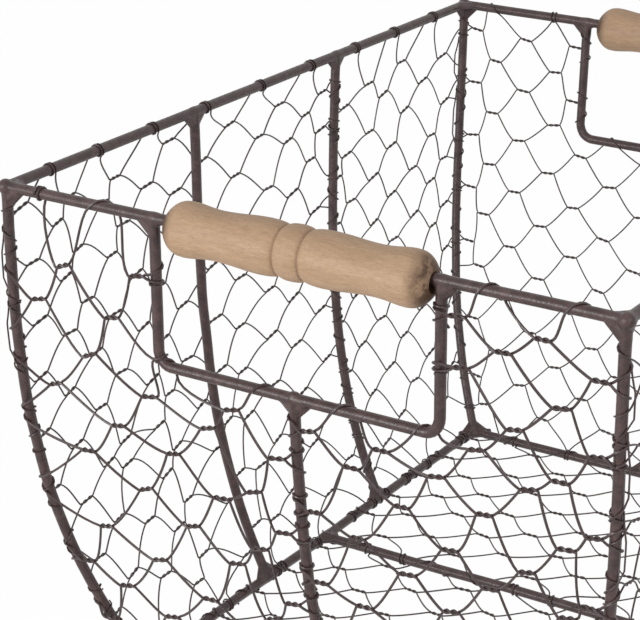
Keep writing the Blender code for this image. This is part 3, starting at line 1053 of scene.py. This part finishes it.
def down_wall(x_of, steps=14):
    """The sides of a border from rim to base, whose place along the wall changes with the height."""
    heights = [rim_z + (base_z - rim_z) * step / steps for step in range(steps + 1)]
    return [((x_of(a), a), (x_of(b), b), "passed") for a, b in zip(heights, heights[1:])]


def end_border(side):
    foot, hole = side * base_half_width, side * hole_half_width
    return down_wall(lambda z: side * half_width(z)) + [
        ((foot, base_z), (0, base_z), "level"), ((0, base_z), (0, hole_z), "wound"),
        ((0, hole_z), (hole, hole_z), "level"), ((hole, hole_z), (hole, rim_z), "wound"),
        ((hole, rim_z), (side * rim_half_width, rim_z), "level"),
    ]


print("the border of an end net has", len(end_border(1)), "sides")

# %% Columns of the near end
near_right_columns = {
    0: (4, [(8, 170), (9, 131), (9, 95)]),
    1: (3, [(26, 182), (29, 158), (30, 124), (30, 88)]),
    2: (4, [(44, 170), (53, 146), (54, 113)]),
    3: (3, [(64, 182), (70, 165), (75, 131), (74, 100)]),
    4: (0, [(79, 238), (81, 216), (89, 182), (92, 153), (94, 118)]),
    5: (-1, [(93, 250), (100, 227), (106, 195), (112, 170), (111, 131)]),
    6: (0, [(117, 236), (126, 209), (126, 177), (129, 147)]),
    7: (-1, [(132, 250), (144, 224), (145, 192), (142, 156), (143, 122)]),
}
near_left_columns = {
    -6: (0, [(-158, 217), (-158, 173), (-156, 138), (-152, 101), (-125, 66)]),
    -5: (-1, [(-131, 250), (-133, 201), (-127, 161), (-112, 130), (-109, 90), (-104, 57)]),
    -4: (0, [(-118, 220), (-106, 180), (-93, 148), (-82, 118), (-80, 80)]),
    -3: (-1, [(-96, 250), (-92, 201), (-74, 167), (-64, 141), (-58, 105), (-55, 65)]),
    -2: (0, [(-77, 223), (-66, 182), (-44, 159), (-40, 125), (-36, 91)]),
    -1: (3, [(-31, 171), (-22, 133), (-22, 103), (-20, 66)]),
    0: (2, [(-14, 182), (-8, 153), (-7, 116), (-8, 78)]),
}
print("near end", len(near_left_columns), "columns on the left and", len(near_right_columns), "on the right")

# %% Lay the end nets
def as_measured(columns, row_pair=33, column_gap=20, turned=1):
    """A place for every twist: the measured ones, and others in line with them. Turned is end for end."""

    def place(k, h):
        k = turned * k
        column = min(max(k, min(columns)), max(columns))
        first, spots = columns[column]
        index = (h - first) / 2
        low = int(min(max(math.floor(index), 0), len(spots) - 1))
        high = min(low + 1, len(spots) - 1)
        part = index - low
        if 0 <= part <= 1 and high > low:
            x, z = ((1 - part) * a + part * b for a, b in zip(spots[low], spots[high]))
        else:
            x, z = spots[low][0], spots[low][1] - part * row_pair
        return turned * (x + (k - column) * column_gap) * mm, base_z + z * mm

    return place


far_column_gap = 20


def far_place(k, h):
    from_post = far_column_gap / 2 if k >= 0 else -far_column_gap / 2
    return (far_column_gap * k + from_post) * mm, rim_z - h * half_row


rows = (-2, 18)
near_ways = {"loose": 0.12, "wound_share": 0.1, "tight_share": 0, "gauge": near_wire_gauge}
panels = {
    "near_left_net": [
        Panel(end_border(-1), end_wall(-1), 12, as_measured(near_left_columns), (-6, 0), rows,
              tilts=(4, 24), lengths=(0.98, 1.24), tight_at={(-5, -1)}, **near_ways)
    ],
    "near_right_net": [
        Panel(end_border(1), end_wall(-1), 11, as_measured(near_right_columns), (0, 7), rows,
              tilts=(-2, 13), lengths=(0.95, 1.12), reach_in=0, **near_ways)
    ],
    "far_left_net": [Panel(end_border(-1), end_wall(1), 13, far_place, (-9, -1), rows)],
    "far_right_net": [Panel(end_border(1), end_wall(1), 14, far_place, (0, 9), rows)],
}
for node, sheets in panels.items():
    print(node, len(sheets[0].twists), "twists and", len(sheets[0].knots), "hooks")

# %% [markdown]
# ## The side nets
# A long wall is one length of netting, drawn tight: it passes outside the near upright without touching it
# and is bound to the far one. Along the long rims every hook is wound round once more. Its cells are wider
# than those of the ends and less high, their twists rise towards the far end, and a wire leaves the upper end
# of a twist in an arch. The places were measured like those above, and the right wall is the same sheet
# turned end for end.

# %% Lay the side nets
side_columns = {
    -8: (0, [(-180, 250), (-172, 222), (-167, 194), (-166, 166), (-170, 138), (-168, 110)]),
    -7: (1, [(-163, 232), (-158, 205), (-152, 178), (-148, 150)]),
    -6: (0, [
        (-145, 250), (-138, 222), (-132, 194), (-130, 164), (-131, 134), (-134, 100), (-134, 88), (-126, 57),
    ]),
    -5: (1, [(-128, 232), (-122, 207), (-112, 178), (-108, 150), (-106, 122), (-105, 98), (-105, 73)]),
    -4: (0, [(-101, 250), (-102, 221), (-98, 195), (-94, 167)]),
    -3: (1, [(-84, 239), (-79, 212), (-77, 182), (-76, 152), (-76, 123), (-68, 96), (-61, 70)]),
    -2: (0, [(-57, 250), (-55, 222), (-50, 192), (-48, 164)]),
    -1: (1, [(-32, 235), (-26, 206), (-22, 178), (-24, 150), (-27, 124), (-29, 100), (-30, 77)]),
    0: (0, [(-7, 250), (-4, 221), (5, 191), (6, 163), (3, 135), (2, 110), (-2, 84), (-9, 57)]),
    1: (1, [(16, 234), (23, 212), (28, 182), (28, 152), (26, 124), (23, 98), (21, 72)]),
    2: (0, [(40, 250), (40, 223), (47, 196), (50, 166)]),
    3: (1, [(60, 231), (61, 210), (66, 180)]),
    4: (0, [(86, 250), (82, 218), (84, 190), (88, 162)]),
    5: (1, [(107, 225), (108, 197), (112, 170)]),
    6: (0, [(128, 250), (122, 215), (133, 182)]),
    7: (1, [(142, 230), (147, 200), (157, 163)]),
    8: (0, [(172, 250), (167, 213), (178, 178)]),
    9: (1, [(191, 223), (195, 195), (193, 160)]),
}


def upright_y(z):
    return upright_top_y + (upright_foot_y - upright_top_y) * drop_at(z)


def side_border(near_edge, far_edge):
    a, b, c, d = near_edge(rim_z), far_edge(rim_z), far_edge(base_z), near_edge(base_z)
    edges = down_wall(near_edge) + down_wall(far_edge)
    return edges + [((a, rim_z), (b, rim_z), "level"), ((d, base_z), (c, base_z), "level")]


side_ways = {
    "axes": (1, 2), "tight_share": 1, "wound_share": 0.2, "loose": 0.3, "reach_in": 0, "lengths": (0.95, 1.4)
}
left_ways = {"tilts": (0, 17), "bends": (bowed, arched)}
right_ways = {"tilts": (-17, 0), "bends": (arched, bowed)}
near_part = side_border(lambda z: -half_length(z), upright_y)
far_part = side_border(upright_y, half_length)
for side, own_ways, seed in ((-1, left_ways, 21), (1, right_ways, 31)):
    place_at = as_measured(side_columns, row_pair=28, column_gap=22, turned=-side)
    sheets = [
        Panel(part, side_wall(side), seed + index, place_at, (-11, 11), (-2, 20), **side_ways, **own_ways)
        for index, part in enumerate((near_part, far_part))
    ]
    panels[f"{side_names[side]}_side_net"] = sheets
    print(side_names[side], "side net", sum(len(sheet.twists) for sheet in sheets), "twists")

# %% [markdown]
# ## The floor nets
# The floor is two pieces that meet at the cross rod. They hang a little between the rods, which lets the
# basket's load rest on the rods, so each sheet sinks by a couple of millimetres away from its border.

# %% Lay the floor nets
floor_half_row = base_half_length / 11
floor_column_gap, floor_shift = 22.2, 3
for name, far_y, near_y, seed in (
    ("near_floor_net", 0, -base_half_length, 41), ("far_floor_net", base_half_length, 0, 42)
):
    left, right = -base_half_width, base_half_width
    border = [((left, y), (right, y), "level") for y in (far_y, near_y)]
    border += [((x, near_y), (x, far_y), "passed") for x in (left, right)]

    def floor_place(k, h, top=far_y):
        return (floor_column_gap * k + floor_shift) * mm, top - h * floor_half_row

    panels[name] = [
        Panel(border, floor_plane, seed, floor_place, (-7, 7), (-1, 12), tight_share=0.5, wound_share=0.5,
              sag=2.4 * mm, axes=(0, 1))
    ]
    print(name, len(panels[name][0].twists), "twists")

# %% [markdown]
# ## Loops along the corner posts
# Where two sheets meet at a corner, the spare edge wire of the side sheet runs down the post in loops. Each
# loop hangs a little proud of the post, bends back sharply and passes round the front of it, which is plain
# to see on the left of the photograph.

# %% Edge wires
def edge_wires(end, seed):
    """The spare edge of a side net down one corner post, on that side's flat sheet."""
    chance = random.Random(seed)
    round_front = Vector((end, 0, 0))
    paths = []
    z = rim_z - chance.uniform(14, 20) * mm
    while z > rim_z - 85 * mm:
        lower = z - chance.uniform(24, 34) * mm
        proud = chance.uniform(1.4, 2.6) * mm
        hang = []
        for step in range(9):
            t = step / 9
            v = z + (lower - z) * t
            hang.append(Vector((end * half_length(v), v, resting + proud * min(1, 2.2 * t) ** 1.5)))
        slope = Vector((end * (half_length(lower + mm) - half_length(lower - mm)), 2 * mm, 0)).normalized()
        spot = Vector((end * half_length(lower), lower - 1.5 * mm, 0))
        turn, moves = math.radians(chance.uniform(180, 250)), -chance.uniform(6, 11) * mm
        paths.append(hang + coil(spot, slope, round_front, turn, moves))
        z = lower - chance.uniform(2, 9) * mm
    return paths


print("edge wires on the left near post", len(edge_wires(-1, 46)))

# %% Make the nets
for node, sheets in panels.items():
    laid = [line for sheet in sheets for line in lay(wires_of(sheet), sheet.surface)]
    if node.endswith("_side_net"):
        side = -1 if node.startswith("left") else 1
        for end in (-1, 1):
            laid += lay(edge_wires(end, 50 + side + 3 * end), side_wall(side))
    net = tube(f"{node}_wire", laid, sheets[0].gauge, wire_roundness, wire_paint)
    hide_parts(node)
    triangles = sum(len(face.vertices) - 2 for face in net.data.polygons)
    print(net.name, len(laid), "wires,", triangles, "triangles")

# %% [markdown]
# ## Floor, background and light
# The photograph is a cut-out on pure white under soft, even light. A pale floor keeps a faint shadow and,
# seen by the camera, is mostly plain white, as is the world behind it. One soft lamp stands low in front and
# to the left, so the grip is a little darker on top, and a weaker one from the right and the even world fill
# the shadows.

# %% Floor and world
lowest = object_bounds()[0].z
floor_shape = bmesh.new()
under_basket = Matrix.Translation((0, 0, lowest))
bmesh.ops.create_grid(floor_shape, x_segments=1, y_segments=1, size=6, matrix=under_basket)
studio_floor = add_object("studio_floor", mesh_from("studio_floor", floor_shape))


def seen_by_eye(tree):
    """1 for rays from the camera and for those that a glossy or clear surface sends on."""
    rays = add_node(tree, "ShaderNodeLightPath")
    first = reckon(tree, "MAXIMUM", rays.outputs["Is Camera Ray"], rays.outputs["Is Glossy Ray"])
    return reckon(tree, "MAXIMUM", first, rays.outputs["Is Transmission Ray"])


paper, tree, shader = new_material("white_paper_floor")
shader.inputs["Base Color"].default_value = (0.9, 0.9, 0.9, 1)
shader.inputs["Roughness"].default_value = 0.9
shader.inputs["Specular IOR Level"].default_value = 0.0
glow = add_node(tree, "ShaderNodeEmission", Color=(1, 1, 1, 1), Strength=1.0)
glow_share = 0.98
share = reckon(tree, "MULTIPLY", seen_by_eye(tree), glow_share)
mixed = add_node(tree, "ShaderNodeMixShader", i0=share, i1=shader.outputs[0], i2=glow.outputs[0])
tree.links.new(mixed.outputs[0], tree.nodes["Material Output"].inputs["Surface"])
studio_floor.data.materials.append(paper)

world = bpy.data.worlds.new("soft_white_room")
world.use_nodes = True
bpy.context.scene.world = world
sky = world.node_tree
dim = add_node(sky, "ShaderNodeBackground", Color=(0.95, 0.97, 1, 1), Strength=0.47)
white = add_node(sky, "ShaderNodeBackground", Color=(1, 1, 1, 1), Strength=1.0)
both = add_node(sky, "ShaderNodeMixShader", i0=seen_by_eye(sky), i1=dim.outputs[0], i2=white.outputs[0])
sky.links.new(both.outputs[0], sky.nodes["World Output"].inputs["Surface"])
print("floor at", round(lowest / mm, 2), "mm")

# %% Lamps
def soft_lamp(name, place, aim, size, power):
    lamp = bpy.data.lights.new(name, "AREA")
    lamp.shape = "DISK"
    lamp.size = size
    lamp.energy = power
    holder = add_object(name, lamp)
    holder.location = place
    holder.rotation_euler = (Vector(aim) - Vector(place)).to_track_quat("-Z", "Y").to_euler()


soft_lamp("soft_key", (-0.65, -1.65, 0.45), (0, 0, 0.15), 0.8, 14.5)
soft_lamp("soft_fill", (1.2, -0.9, 1.0), (0, 0, 0.12), 1.2, 6)
print("two soft lamps")

# %% Set the view transform
view = bpy.context.scene.view_settings
view.view_transform = "Standard"
